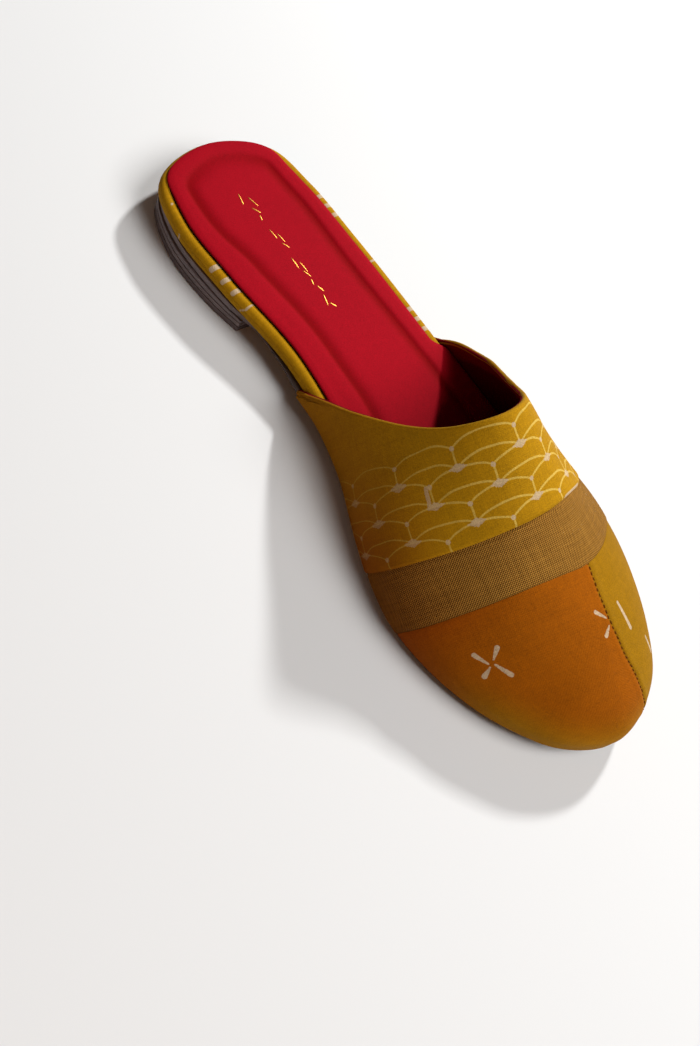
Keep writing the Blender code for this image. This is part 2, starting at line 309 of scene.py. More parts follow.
def patch(name, across, along):
    """A flat grid, with the column and row of each point."""
    bpy.ops.object.select_all(action="DESELECT")
    bpy.ops.mesh.primitive_grid_add(x_subdivisions=across, y_subdivisions=along, size=1)
    piece = bpy.context.object
    piece.name = name
    shares = read_points(piece) + 0.5
    columns, rows = np.round(shares[:, :2] * (across, along)).astype(int).T
    return piece, columns, rows


def edit(piece, *steps):
    """Run edit-mode operators on the whole piece."""
    only(piece)
    bpy.ops.object.mode_set(mode="EDIT")
    bpy.ops.mesh.select_all(action="SELECT")
    for step, settings in steps:
        step(**settings)
    bpy.ops.object.mode_set(mode="OBJECT")


def face_out(piece, middle):
    """Turn the faces of an open sheet away from a point inside the shoe."""
    points, normals = read_points(piece), read_normals(piece)
    if np.sum((points - np.array(middle)) * normals) < 0:
        edit(piece, (bpy.ops.mesh.flip_normals, {}))


def lay_cloth(piece, u, v):
    """Give each point its place on the flat cloth, in metres, as the UV map."""
    corners = np.empty(len(piece.data.loops), np.int32)
    piece.data.loops.foreach_get("vertex_index", corners)
    layer = piece.data.uv_layers.get("UVMap") or piece.data.uv_layers.new(name="UVMap")
    layer.data.foreach_set("uv", np.stack([u[corners], v[corners]], 1).astype(np.float32).ravel())


def wall(piece, thickness):
    """Give a sheet its thickness, inwards from its face."""
    only(piece)
    modifier = piece.modifiers.new("wall", "SOLIDIFY")
    modifier.thickness = thickness
    modifier.offset = -1.0
    modifier.use_even_offset = False
    bpy.ops.object.modifier_apply(modifier=modifier.name)


def smooth(piece, angle):
    """Shade smooth, with edges kept where faces turn by more than an angle in degrees."""
    only(piece)
    bpy.ops.object.shade_smooth_by_angle(angle=math.radians(angle))


def finish(piece, material, slot, *stands_for):
    """Dress a piece and fix it to the shoe."""
    piece.data.materials.clear()
    piece.data.materials.append(material)
    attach(piece, "root")
    if stands_for:
        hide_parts(*stands_for)
    return piece


# Materials

FAR = 9.0               # a distance in mm that is past any print


class Wire:
    """A value in a node tree, so that sums on it read as sums."""

    def __init__(self, tree, socket):
        self.tree, self.socket = tree, socket

    def _math(self, operation, *others):
        maths = self.tree.nodes.new("ShaderNodeMath")
        maths.operation = operation
        for socket, value in zip(maths.inputs, (self, *others)):
            plug(self.tree, socket, value)
        return Wire(self.tree, maths.outputs[0])

    def __add__(self, other): return self._math("ADD", other)
    def __sub__(self, other): return self._math("SUBTRACT", other)
    def __mul__(self, other): return self._math("MULTIPLY", other)
    def __truediv__(self, other): return self._math("DIVIDE", other)
    def __pow__(self, other): return self._math("POWER", other)
    def __abs__(self): return self._math("ABSOLUTE")
    def least(self, other): return self._math("MINIMUM", other)
    def most(self, other): return self._math("MAXIMUM", other)
    def floor(self): return self._math("FLOOR")
    def part(self): return self._math("FRACT")
    def sine(self): return self._math("SINE")
    def below(self, other): return self._math("LESS_THAN", other)

    def between(self, low, high, to_low=0.0, to_high=1.0):
        """Map a range, eased, to another."""
        ranges = self.tree.nodes.new("ShaderNodeMapRange")
        ranges.interpolation_type = "SMOOTHSTEP"
        for socket, value in zip(ranges.inputs, (self, low, high, to_low, to_high)):
            plug(self.tree, socket, value)
        return Wire(self.tree, ranges.outputs[0])


def plug(tree, socket, value):
    """Link a wire to a socket, or set the socket's own value."""
    if isinstance(value, Wire):
        tree.links.new(value.socket, socket)
    else:
        socket.default_value = value


def add_node(tree, kind, inputs=None, **settings):
    """Add a node, with wires or values for its inputs."""
    new_node = tree.nodes.new(kind)
    for name, value in settings.items():
        setattr(new_node, name, value)
    for name, value in (inputs or {}).items():
        plug(tree, new_node.inputs[name], value)
    return new_node


def noise(tree, place_wire, scale, detail=2.0):
    """Noise around 0, from about -0.5 to 0.5, with scale in repeats per metre."""
    made = add_node(tree, "ShaderNodeTexNoise",
                    {"Vector": place_wire, "Scale": scale, "Detail": detail})
    return Wire(tree, made.outputs[0]) - 0.5


def blend(tree, share, first, second):
    """Mix two colours."""
    mix = tree.nodes.new("ShaderNodeMix")
    mix.data_type = "RGBA"
    plug(tree, mix.inputs["Factor"], share)
    plug(tree, mix.inputs["A"], first)
    plug(tree, mix.inputs["B"], second)
    return Wire(tree, mix.outputs["Result"])


def colour(red, green, blue):
    return (red, green, blue, 1.0)


def brighter(tree, tint, gain):
    """A colour times a value."""
    scaled = tree.nodes.new("ShaderNodeVectorMath")
    scaled.operation = "SCALE"
    plug(tree, scaled.inputs["Vector"], tint if isinstance(tint, Wire) else tint[:3])
    plug(tree, scaled.inputs["Scale"], gain)
    return Wire(tree, scaled.outputs[0])


def stretched(tree, vector, x, y, z=1.0):
    """A vector times a scale for each axis."""
    mapping = add_node(tree, "ShaderNodeMapping", {"Vector": vector, "Scale": (x, y, z)})
    return Wire(tree, mapping.outputs[0])


def group_of(name, inputs, outputs, build):
    """A node group with named sockets; inputs are name, kind and default."""
    group = bpy.data.node_groups.new(name, "ShaderNodeTree")
    for socket_name, kind, default in inputs:
        socket = group.interface.new_socket(socket_name, in_out="INPUT", socket_type=kind)
        if default is not None:
            socket.default_value = default
    for socket_name in outputs:
        group.interface.new_socket(socket_name, in_out="OUTPUT", socket_type="NodeSocketFloat")
    source = group.nodes.new("NodeGroupInput")
    sink = group.nodes.new("NodeGroupOutput")
    wires = {socket.name: Wire(group, socket) for socket in source.outputs if socket.name}
    for socket_name, wire in build(group, wires).items():
        group.links.new(wire.socket, sink.inputs[socket_name])
    return group


def use(tree, group, outputs, **inputs):
    """Place a group in a material."""
    placed = tree.nodes.new("ShaderNodeGroup")
    placed.node_tree = group
    for name, value in inputs.items():
        plug(tree, placed.inputs[name.replace("_", " ")], value)
    return [Wire(tree, placed.outputs[name]) for name in outputs]


def build_weave(tree, wires):
    """Plain weave: threads cross over and under, some thicker than others."""
    flat = tree.nodes.new("ShaderNodeSeparateXYZ")
    plug(tree, flat.inputs[0], wires["Cloth"])
    u, v = Wire(tree, flat.outputs[0]), Wire(tree, flat.outputs[1])
    turn = wires["Pitch"] ** -1.0 * math.pi
    wobble = noise(tree, wires["Cloth"], 260.0) * wires["Uneven"]
    along_u = (u * turn + wobble).sine()
    along_v = (v * turn + wobble).sine()
    crossing = along_u * along_v
    warp = noise(tree, stretched(tree, wires["Cloth"], 1500.0, 60.0), 1.0, 1.0)
    weft = noise(tree, stretched(tree, wires["Cloth"], 60.0, 1500.0), 1.0, 1.0)
    slub = warp + weft
    return {"Height": crossing * 0.5 + slub * wires["Slub"], "Threads": slub}


def build_mottle(tree, wires):
    """Uneven dye: broad clouds, small blotches and grain."""
    broad = noise(tree, wires["Place"], 45.0, 3.0)
    small = noise(tree, wires["Place"], 420.0, 2.0)
    grain = noise(tree, wires["Place"], 2600.0, 1.0)
    flecks = noise(tree, wires["Place"], 3600.0, 1.0).between(0.2, 0.45, 0.0, 1.0)
    total = broad * wires["Broad"] + small * wires["Small"] + grain * wires["Grain"]
    total = total + flecks * wires["Flecks"]
    return {"Gain": total + 1.0}


def build_net(tree, wires):
    """Fish-scale net: rows of arches, half a step apart, each valley tied to the crown below.

    u runs across the cloth and v down it, in mm. Each line is given by its distance.
    """
    arch_width, row_pitch, arch_height, twin_gap = 21.3, 8.9, 2.8, 6.1
    knot_wide, knot_high, joint_radius = 3.2, 1.45, 0.8
    drip_at, drip_down, drip_long, drip_wide = 32.6, 12.0, 3.0, 0.7
    inner_end = -62.0
    flat = tree.nodes.new("ShaderNodeSeparateXYZ")
    plug(tree, flat.inputs[0], wires["Cloth"])
    sway = noise(tree, wires["Cloth"], 120.0, 1.0)
    u = Wire(tree, flat.outputs[0]) * 1000.0 - wires["Valley"] + sway * 1.2
    v = Wire(tree, flat.outputs[1]) * 1000.0 - wires["First row"] + arch_height
    v = v + noise(tree, wires["Cloth"], 95.0, 1.0) * 1.0
    from_ridge = u + wires["Valley"]
    row = (v / row_pitch).floor()
    y = v - row * row_pitch
    half_step = (row * 0.5).part()
    x = ((u / arch_width + half_step).part() * 2.0 - 1.0)
    x_below = ((u / arch_width + half_step + 0.5).part() * 2.0 - 1.0)
    bow = abs(x) ** 2.6 * arch_height
    bow_below = abs(x_below) ** 2.6 * arch_height
    beside = (abs(x) * -1.0 + 1.0) * (arch_width / 2)
    over = (y * -1.0 + arch_height).most(0.0)
    link = (beside * beside + over * over) ** 0.5
    above_first = row.below(-0.5) * FAR
    in_first = row.below(0.5) * FAR
    past_twins = row.below(2.5) * -FAR + FAR
    twin = abs(y - bow - twin_gap) + above_first + past_twins
    twin_above = abs(y - bow_below - twin_gap + row_pitch) + in_first
    line = abs(y - bow).least(abs(y - row_pitch - bow_below))
    line = line.least(twin).least(twin_above).least(link + above_first)
    line = line - wires["Line"] * from_ridge.between(inner_end, -20.0, 0.55, 1.0)
    knot = (beside / knot_wide + abs(y - row_pitch) / knot_high - 1.0) + above_first
    crown = (abs(x) * (arch_width / 2) / knot_wide + y / knot_high - 1.0) + in_first
    under = y - arch_height
    joint = (beside * beside + under * under) ** 0.5 - joint_radius
    down = v - arch_height
    drip = abs(from_ridge + drip_at + down * 0.1)
    drip = drip.most(abs(down - drip_down) - drip_long) - drip_wide
    ragged = noise(tree, wires["Cloth"], 1900.0, 1.0)
    blot = knot.least(crown) + ragged * 0.7
    thick = blot.least(joint + ragged * 0.4).least(drip + ragged * 0.5)
    unprinted = (v - 0.2).below(-0.35) * FAR
    # partly the print fading and partly painted shade: the net grows dimmer towards the inner side
    print_fade_and_shade = from_ridge.between(inner_end, -8.0, 0.3, 1.0)
    return {"Lines": (line + ragged * 0.25 + unprinted).between(0.10, -0.10) * print_fade_and_shade,
            "Knots": (thick + unprinted).between(0.08, -0.08) * print_fade_and_shade}


def build_ragged_print(tree, wires):
    """Where a print lies, from its distance in mm, with a ragged soft edge."""
    ragged = noise(tree, wires["Place"], wires["Scale"], 1.0) * wires["Ragged"]
    return {"Mask": (wires["Distance"] + ragged).between(wires["Soft"], wires["Soft"] * -1.0)}


def build_nap(tree, wires):
    """The raised fibres of suede."""
    fine, coarse = noise(tree, wires["Place"], 3800.0, 3.0), noise(tree, wires["Place"], 700.0)
    return {"Height": fine + coarse * 0.6}


def build_edge_layers(tree, wires):
    """Level streaks and scuffs of a cut and stained edge."""
    scale = add_node(tree, "ShaderNodeCombineXYZ", {"X": 40.0, "Y": 40.0, "Z": wires["Streaks"]})
    mapping = add_node(tree, "ShaderNodeMapping",
                       {"Vector": wires["Place"], "Scale": Wire(tree, scale.outputs[0])})
    layers = noise(tree, Wire(tree, mapping.outputs[0]), 1.0, 3.0)
    scuffs = noise(tree, wires["Place"], 300.0, 4.0)
    return {"Gain": layers * 0.5 + scuffs * 0.5 + 1.0, "Height": layers + scuffs * 0.5}


VECTOR, FLOAT = "NodeSocketVector", "NodeSocketFloat"
WEAVE = group_of("plain_weave", (("Cloth", VECTOR, None), ("Pitch", FLOAT, 0.0005),
                                 ("Uneven", FLOAT, 0.6), ("Slub", FLOAT, 0.5)),
                 ("Height", "Threads"), build_weave)
MOTTLE = group_of("uneven_dye", (("Place", VECTOR, None), ("Broad", FLOAT, 0.3),
                                 ("Small", FLOAT, 0.2), ("Grain", FLOAT, 0.2),
                                 ("Flecks", FLOAT, 0.0)),
                  ("Gain",), build_mottle)
NET = group_of("fish_scale_net", (("Cloth", VECTOR, None), ("Valley", FLOAT, -0.3),
                                  ("First row", FLOAT, -30.0), ("Line", FLOAT, 0.35)),
               ("Lines", "Knots"), build_net)
RAGGED_PRINT = group_of("ragged_print", (("Place", VECTOR, None), ("Distance", FLOAT, 0.0),
                                         ("Scale", FLOAT, 2000.0), ("Ragged", FLOAT, 0.3),
                                         ("Soft", FLOAT, 0.1)),
                        ("Mask",), build_ragged_print)
NAP = group_of("suede_nap", (("Place", VECTOR, None),), ("Height",), build_nap)
EDGE_LAYERS = group_of("edge_layers", (("Place", VECTOR, None), ("Streaks", FLOAT, 3000.0)),
                       ("Gain", "Height"), build_edge_layers)

MUSTARD = colour(0.36, 0.182, 0.003)
RUST = colour(0.282, 0.074, 0.0007)
TOE_MUSTARD = colour(0.262, 0.126, 0.002)
# painted reflection: the warm golden glow of light thrown up onto the toe's lower edge
TOE_BOUNCE_GOLD = colour(0.32, 0.144, 0.0018)
# painted shade: the browner colour given to the cloth's inner side, which lies in shade
SHADE_BROWN = colour(0.225, 0.055, 0.001)
# painted shade: the redder rust of the toe's inner side, which lies in shade
SHADE_RUST = colour(0.24, 0.042, 0.0005)
CREAM = colour(0.47, 0.36, 0.24)
PALE_YELLOW = colour(0.55, 0.38, 0.075)
# painted shade: the colour of the hollows between the linen's threads
LINEN_GAP_SHADE = colour(0.085, 0.030, 0.003)
LINEN_PALE = colour(0.43, 0.212, 0.036)
# painted shade: the linen's colours on its inner side, which lies in shade
SHADE_LINEN_DARK = colour(0.07, 0.018, 0.001)
SHADE_LINEN_PALE = colour(0.30, 0.10, 0.010)
# painted shade: the dark line where the linen runs in under the printed band
SEAM_SHADE_BROWN = colour(0.06, 0.022, 0.002)
SOCK_RED = colour(0.31, 0.0024, 0.010)
# painted shade: the deeper red in the sock's pressed groove
GROOVE_SHADE_RED = colour(0.20, 0.0003, 0.0025)
LINING_RED = colour(0.075, 0.0012, 0.003)
TAPE_RED = colour(0.15, 0.003, 0.006)
THREAD_BROWN = colour(0.15, 0.045, 0.005)
GOLD = colour(0.66, 0.32, 0.06)
OUTSOLE_BROWN = colour(0.055, 0.035, 0.03)
HEEL_SEAT_GREY = colour(0.155, 0.12, 0.12)
STACK_GREY = colour(0.15, 0.115, 0.117)
RUBBER_GREY = colour(0.12, 0.092, 0.094)
COTTON_PITCH, LINEN_PITCH = 0.00042, 0.00043


def new_material(name, roughness=0.85, sheen=0.0, shine=0.05):
    """An empty material with its tree, shader, cloth place and object place."""
    material = bpy.data.materials.new(name)
    material.use_nodes = True
    tree = material.node_tree
    shader = tree.nodes["Principled BSDF"]
    shader.inputs["Roughness"].default_value = roughness
    shader.inputs["Sheen Weight"].default_value = sheen
    shader.inputs["Sheen Roughness"].default_value = 0.4
    shader.inputs["Specular IOR Level"].default_value = shine
    spots = tree.nodes.new("ShaderNodeTexCoord")
    cloth, where = Wire(tree, spots.outputs["UV"]), Wire(tree, spots.outputs["Object"])
    return material, tree, shader, cloth, where


def bump(tree, shader, height, distance, strength):
    """Low relief in a surface, its full height given in metres."""
    bumped = add_node(tree, "ShaderNodeBump", {"Height": height, "Distance": distance,
                                               "Strength": strength})
    tree.links.new(bumped.outputs[0], shader.inputs["Normal"])


def attribute(tree, name):
    """The numbers that note kept for a piece."""
    found = add_node(tree, "ShaderNodeAttribute", attribute_name=name)
    return Wire(tree, found.outputs["Fac"])


def printed_cotton(name, broad, small, grain, flecks=0.0):
    """Fine cotton before its dye: its material, tree, shader, places, threads and dye gain."""
    material, tree, shader, cloth, where = new_material(name, sheen=0.02)
    height, threads = use(tree, WEAVE, ("Height", "Threads"), Cloth=cloth, Pitch=COTTON_PITCH)
    gain, = use(tree, MOTTLE, ("Gain",), Place=where, Broad=broad, Small=small, Grain=grain,
                Flecks=flecks)
    bump(tree, shader, height, 0.08 * MM, 0.5)
    return material, tree, shader, cloth, where, threads, gain


def band_cotton():
    """Mustard cotton printed with a pale fish-scale net, with painted shade making it browner on
    the inner side.
    """
    material, tree, shader, cloth, where, threads, gain = printed_cotton(
        "net_cotton", 0.2, 0.24, 0.8, 0.5)
    lines, knots = use(tree, NET, ("Lines", "Knots"), Cloth=cloth)
    cream = brighter(tree, CREAM, gain)
    ground = brighter(tree, MUSTARD, gain + threads * 0.25)
    # painted shade: the band's inner side is tinted browner and darker
    ground = blend(tree, attribute(tree, "painted_inner_shade") * 0.95, ground,
                   brighter(tree, SHADE_BROWN, gain))
    uneven = noise(tree, where, 900.0)
    worn = uneven.between(-0.4, -0.05, 0.55)
    printed = blend(tree, lines * worn * 0.85, ground, brighter(tree, PALE_YELLOW, gain))
    # painted highlight: a pale line along the band's seam edge on its lit outer part
    seam_highlight = (attribute(tree, "seam_highlight") + uneven * 0.3).between(0.3, 0.6)
    printed = blend(tree, seam_highlight * 0.85, printed, cream)
    plug(tree, shader.inputs["Base Color"], blend(tree, knots * 0.8, printed, cream))
    return material


def linen():
    """Coarse tan linen, with painted shade between its pale threads and along its seam."""
    material, tree, shader, cloth, where = new_material("coarse_linen")
    height, = use(tree, WEAVE, ("Height",), Cloth=cloth, Pitch=LINEN_PITCH, Uneven=1.0, Slub=0.38)
    gain, = use(tree, MOTTLE, ("Gain",), Place=where, Broad=0.12, Small=0.12, Grain=0.4)
    # painted shade: lower parts of the weave are coloured dark, its thread tops pale
    light = (height + 0.02).between(-0.48, 0.55)
    tint = blend(tree, light, LINEN_GAP_SHADE, LINEN_PALE)
    # painted shade: the linen's inner side is tinted darker and browner
    painted_inner_shade = attribute(tree, "around").between(-0.3, -1.0)
    tint = blend(tree, painted_inner_shade * 0.85, tint,
                 blend(tree, light, SHADE_LINEN_DARK, SHADE_LINEN_PALE))
    # painted shade along the seam under the printed band
    tint = blend(tree, attribute(tree, "painted_seam_shade") * 0.75, tint, SEAM_SHADE_BROWN)
    plug(tree, shader.inputs["Base Color"], brighter(tree, tint, gain))
    bump(tree, shader, height, 0.3 * MM, 0.9)
    return material


def toe_cotton():
    """Rust cotton and mustard cotton either side of the toe seam, with pale printed petals."""
    material, tree, shader, _, where, threads, gain = printed_cotton(
        "toe_cotton", 0.28, 0.24, 0.75, 0.5)
    mustard_side = attribute(tree, "seam_side").between(-0.1, 0.1)
    # painted shade: the toe's inner side is tinted a darker, redder rust
    dyed = blend(tree, attribute(tree, "painted_inner_shade") * 0.8, RUST, SHADE_RUST)
    # painted reflection: the toe is tinted golden towards its lower edge
    dyed = blend(tree, attribute(tree, "painted_bounce_glow"), dyed, TOE_BOUNCE_GOLD)
    ground = brighter(tree, blend(tree, mustard_side, dyed, TOE_MUSTARD), gain + threads * 0.2)
    petals, = use(tree, RAGGED_PRINT, ("Mask",), Place=where,
                  Distance=attribute(tree, "print"), Scale=2200.0, Ragged=0.35, Soft=0.1)
    pale = brighter(tree, CREAM, gain + threads * 0.5)
    plug(tree, shader.inputs["Base Color"], blend(tree, petals * 0.92, ground, pale))
    return material


def rim_cotton():
    """Mustard cotton round the footbed's edge, with pale dashes."""
    material, tree, shader, _, where, threads, gain = printed_cotton("rim_wrap", 0.3, 0.2, 0.2)
    ground = brighter(tree, MUSTARD, gain + threads * 0.4)
    dashes, = use(tree, RAGGED_PRINT, ("Mask",), Place=where,
                  Distance=attribute(tree, "print"), Scale=1500.0, Ragged=0.25, Soft=0.12)
    plug(tree, shader.inputs["Base Color"],
         blend(tree, dashes * 0.92, ground, brighter(tree, CREAM, gain)))
    return material


def suede(name, tint, roughness, shine, second_tint, mask_name, mask_range=None):
    """Fine sueded leather, of a second red where its attribute, eased over a range, is high."""
    material, tree, shader, _, where = new_material(name, roughness=roughness, shine=shine)
    gain, = use(tree, MOTTLE, ("Gain",), Place=where, Broad=0.14, Small=0.14, Grain=0.6,
                Flecks=0.3)
    nap, = use(tree, NAP, ("Height",), Place=where)
    mask = attribute(tree, mask_name)
    if mask_range:
        mask = mask.between(*mask_range)
    tint = blend(tree, mask, tint, second_tint)
    plug(tree, shader.inputs["Base Color"], brighter(tree, tint, gain))
    bump(tree, shader, nap, 0.08 * MM, 0.7)
    return material


def dark_edge(name, tint, roughness, streaks, heel_tint=None):
    """Stained leather or rubber edge, with fine level streaks."""
    material, tree, shader, _, where = new_material(name, roughness=roughness, shine=0.4)
    gain, height = use(tree, EDGE_LAYERS, ("Gain", "Height"), Place=where, Streaks=streaks)
    if heel_tint is not None:
        tint = blend(tree, attribute(tree, "under_heel"), tint, heel_tint)
    plug(tree, shader.inputs["Base Color"], brighter(tree, tint, gain))
    bump(tree, shader, height, 0.04 * MM, 0.5)
    return material


def plain_thread():
    """Dark brown sewing thread."""
    material, tree, shader, _, where = new_material("thread", roughness=0.8)
    ply = noise(tree, where, 2500.0)
    plug(tree, shader.inputs["Base Color"], brighter(tree, THREAD_BROWN, ply + 1.0))
    return material


def gold_foil():
    """Worn gold foil pressed on leather."""
    material, tree, shader, _, where = new_material("gold_foil", roughness=0.4)
    shader.inputs["Metallic"].default_value = 1.0
    wear = noise(tree, where, 1800.0, 2.0)
    plug(tree, shader.inputs["Base Color"], brighter(tree, GOLD, wear * 1.2 + 1.0))
    bump(tree, shader, wear, 0.06 * MM, 0.8)
    return material


# The upper

COTTON_THICK, PANEL_THICK = 0.45 * MM, 0.6 * MM
LINING_THICK, LINING_FACE = 0.65 * MM, 0.7 * MM
SAME_PLACE = 0.01 * MM  # points of a sheet that are merged
LAP = 1.5 * MM          # how far a panel runs in under the one before it
EDGE_ROWS = 9           # rows of the band that turn over the throat edge
HEM_ROWS = 3            # rows of its hem inside
FLARE_RUN = 16 * MM     # length of each wing that stands off the rim
INSIDE = place(0.19, 0.0, 0.02)


def lay_flat(piece, points, columns, rows, base_row):
    """Lay a sheet's cloth flat from its middle column and a base row; gives mm down from it."""
    across, down = columns.max(), rows.max()
    grid = np.empty((across + 1, down + 1, 3))
    grid[columns, rows] = points
    u = np.zeros((across + 1, down + 1))
    u[1:] = np.cumsum(np.linalg.norm(np.diff(grid, axis=0), axis=-1), 0)
    u -= u[across // 2:across // 2 + 1]
    v = np.zeros_like(u)
    v[:, 1:] = np.cumsum(np.linalg.norm(np.diff(grid, axis=1), axis=-1), 1)
    v -= v[:, base_row:base_row + 1]
    lay_cloth(piece, u[columns, rows], v[columns, rows])
    return v[columns, rows] / MM


def finish_sheet(piece, points, lift, thickness, material):
    """Raise a sheet of the upper by heights in mm, give it its wall and dress it."""
    set_points(piece, points + read_normals(piece) * (lift * MM)[:, None])
    wall(piece, thickness)
    smooth(piece, 60)
    return finish(piece, material, "upper_cotton", "upper")


def tapered_strokes(points, strokes):
    """Distance in mm from each point to the nearest stroke: two ends and two half widths in mm."""
    nearest = np.full(len(points), FAR)
    for start, end, thin, thick in strokes:
        a, b = np.array(start), np.array(end)
        run = b - a
        share = np.clip((points - a) @ run / (run @ run), 0, 1)
        away = np.linalg.norm(points - a - share[:, None] * run, axis=1) / MM
        nearest = np.minimum(nearest, away - (thin + (thick - thin) * share))
    return nearest


def swell(distance, width):
    """A soft rise that is 1 in its middle and fades with distance."""
    return np.exp(-(distance / width) ** 2)


def soft_creases(points, creases):
    """Height in mm of soft troughs and ridges laid one by one, as the table of creases gives them.
    """
    total = np.zeros(len(points))
    station = station_of(points) / MM
    x = (points[:, 0] - SHIFT_X) / MM
    for crease_x, crease_station, length, turn, width, height in creases:
        dx, ds = x - crease_x, station - crease_station
        c, s = math.cos(math.radians(turn)), math.sin(math.radians(turn))
        lengthwise, sideways = dx * c + ds * s, -dx * s + ds * c
        total += height * np.exp(-(lengthwise / length) ** 2 - (sideways / width) ** 2)
    return total


def gentle_waves(points, size, height, seed):
    """Low unevenness of stretched cloth, from a few crossing waves."""
    waves = 7
    draw = np.random.default_rng(seed)
    total = np.zeros(len(points))
    for _ in range(waves):
        direction = draw.normal(size=3)
        direction /= np.linalg.norm(direction)
        length, phase = size * draw.uniform(0.6, 1.5), draw.uniform(0, 6.28)
        total += np.sin(points @ direction / length * 2 * math.pi + phase)
    return total / waves * height


def throat_frame(around):
    """On the throat edge: the points, the way out of the cloth, and the way out of the opening."""
    step = 1e-3
    edge = upper_point(around, 0.0)
    before, after = (upper_point(np.clip(around + way, -1, 1), 0.0) for way in (-step, step))
    sideways = after - before
    forward = upper_point(around, step) - edge
    out = np.cross(sideways, forward)
    out /= np.linalg.norm(out, axis=1)[:, None]
    if np.sum(out * (edge - INSIDE)) < 0:
        out = -out
    back = np.cross(sideways, out)
    back /= np.linalg.norm(back, axis=1)[:, None]
    if np.sum(back * forward) > 0:
        back = -back
    return edge, out, back


def wing_flare(points, around):
    """The wings' lower corners stand a little off the rim."""
    near_tip = ease((WING_TIP + FLARE_RUN - station_of(points)) / FLARE_RUN)
    return 1.2 * near_tip * ease((np.abs(around) - 0.6) / 0.3)


def throat_band(material):
    """The printed band: from its hem inside, over the throat edge, to the linen."""
    across, down = 320, 118
    piece, columns, rows = patch("throat_band", across, down)
    around = np.linspace(-1, 1, across + 1)
    last = along_at(around, curve(BAND_SEAM, around) * MM)
    turned = EDGE_ROWS + HEM_ROWS
    edge, out, back = throat_frame(around)
    ripple = 0.35 * MM * np.sin(around * 31) * ease((around - 0.1) / 0.3)
    edge = edge + back * ripple[:, None]
    grid = np.empty((across + 1, down + 1, 3))
    radius = UPPER_WALL / 2
    for row in range(HEM_ROWS):
        hem = radius + 0.15 * MM * (HEM_ROWS - row)
        grid[:, row] = edge - out * 2 * radius - back * hem
    centre = edge - out * radius - back * radius
    for row in range(HEM_ROWS, turned):
        angle = math.pi * (1 - (row - HEM_ROWS) / EDGE_ROWS)
        grid[:, row] = centre + radius * (math.cos(angle) * out + math.sin(angle) * back)
    shares = 1 - (1 - np.linspace(0, 1, down + 1 - turned)) ** 1.15
    for k, share in enumerate(shares):
        grid[:, turned + k] = upper_point(around, last * share) - back * radius * max(1 - k / 3, 0)
    points = grid[columns, rows]
    set_points(piece, points)
    from_seam = -lay_flat(piece, points, columns, rows, down)
    band_middle = points[rows > turned].mean(0)
    face_out(piece, INSIDE * 0.6 + band_middle * 0.4 - np.array([0, 0, 0.02]))

    at = around[columns]
    # painted highlight along the seam edge, on the outer part only
    outer_part = ease((at - 0.13) / 0.05) * ease((0.45 - at) / 0.1)
    note(piece, "seam_highlight", outer_part * ease((1.1 - from_seam) / 0.5))
    # painted shade over the band's inner side
    inner = ease((-at - 0.35) / 0.65)
    note(piece, "painted_inner_shade", inner * (0.55 + 0.45 * ease((40 - from_seam) / 38)))
    lift = 0.5 * swell(from_seam, 14) - 0.5 * swell(from_seam, 0.45)
    lift += gentle_waves(points, 0.03, 0.25, 3) * (rows > turned + 6)
    lift += wing_flare(points, at)
    return finish_sheet(piece, points, lift * (rows > turned + 1), COTTON_THICK, material)


def linen_band(material):
    """The linen across the instep, its back edge under the printed band."""
    across, down = 300, 44
    piece, columns, rows = patch("linen_band", across, down)
    around = np.linspace(-1, 1, across + 1)
    first = along_at(around, curve(BAND_SEAM, around) * MM - LAP)
    last = along_at(around, curve(LINEN_SEAM, around) * MM)
    shares = 1 - (1 - np.linspace(0, 1, down + 1)) ** 1.3
    points = upper_point(around[columns], first[columns] + (last - first)[columns] * shares[rows])
    set_points(piece, points)
    face_out(piece, INSIDE)
    from_seam = -lay_flat(piece, points, columns, rows, down)
    note(piece, "around", around[columns])
    # painted shade: a dark line along the seam
    note(piece, "painted_seam_shade", swell(from_seam, 0.5))
    lift = 0.3 * swell(from_seam, 8) - 0.45 * swell(from_seam, 0.4)
    lift += gentle_waves(points, 0.03, 0.25, 3)
    lift -= 0.35 * (shares[rows] * 18 < 1.6)
    return finish_sheet(piece, points, lift, PANEL_THICK, material)


# Printed petals and dashes of the toe: ends as X and station in mm, half widths in mm
TOE_PRINT = (
    ((-31.8, 208.3), (-29.8, 206.1), 0.30, 0.85),
    ((-33.1, 208.6), (-35.3, 203.9), 0.30, 0.80),
    ((-31.8, 210.2), (-29.1, 215.1), 0.35, 0.85),
    ((-33.2, 210.0), (-35.1, 211.4), 0.30, 0.95),
    ((5.2, 216.7), (2.4, 213.6), 0.30, 0.75),
    ((5.0, 219.4), (2.0, 221.6), 0.25, 0.75),
    ((14.2, 214.9), (15.0, 224.0), 0.55, 0.80),
    ((22.6, 229.6), (23.8, 234.4), 0.6, 0.75),
)
# Soft creases over the toe: X, station, length, turn in degrees, width, height in mm
TOE_CREASES = (
    (-14.0, 207.0, 13.0, 8.0, 2.2, -0.22),
    (-12.0, 212.0, 15.0, 12.0, 2.6, 0.16),
    (-6.0, 217.0, 12.0, 4.0, 2.4, -0.14),
    (12.0, 208.0, 6.0, -30.0, 2.4, -0.18),
    (-24.0, 222.0, 10.0, 40.0, 3.0, -0.15),
)


def on_surface(points, x, station):
    """The highest point of a surface near an X and station in mm."""
    near = np.hypot((points[:, 0] - SHIFT_X) / MM - x, station_of(points) / MM - station)
    near = near - points[:, 2] / MM * 1e-3
    return points[np.argmin(near)]


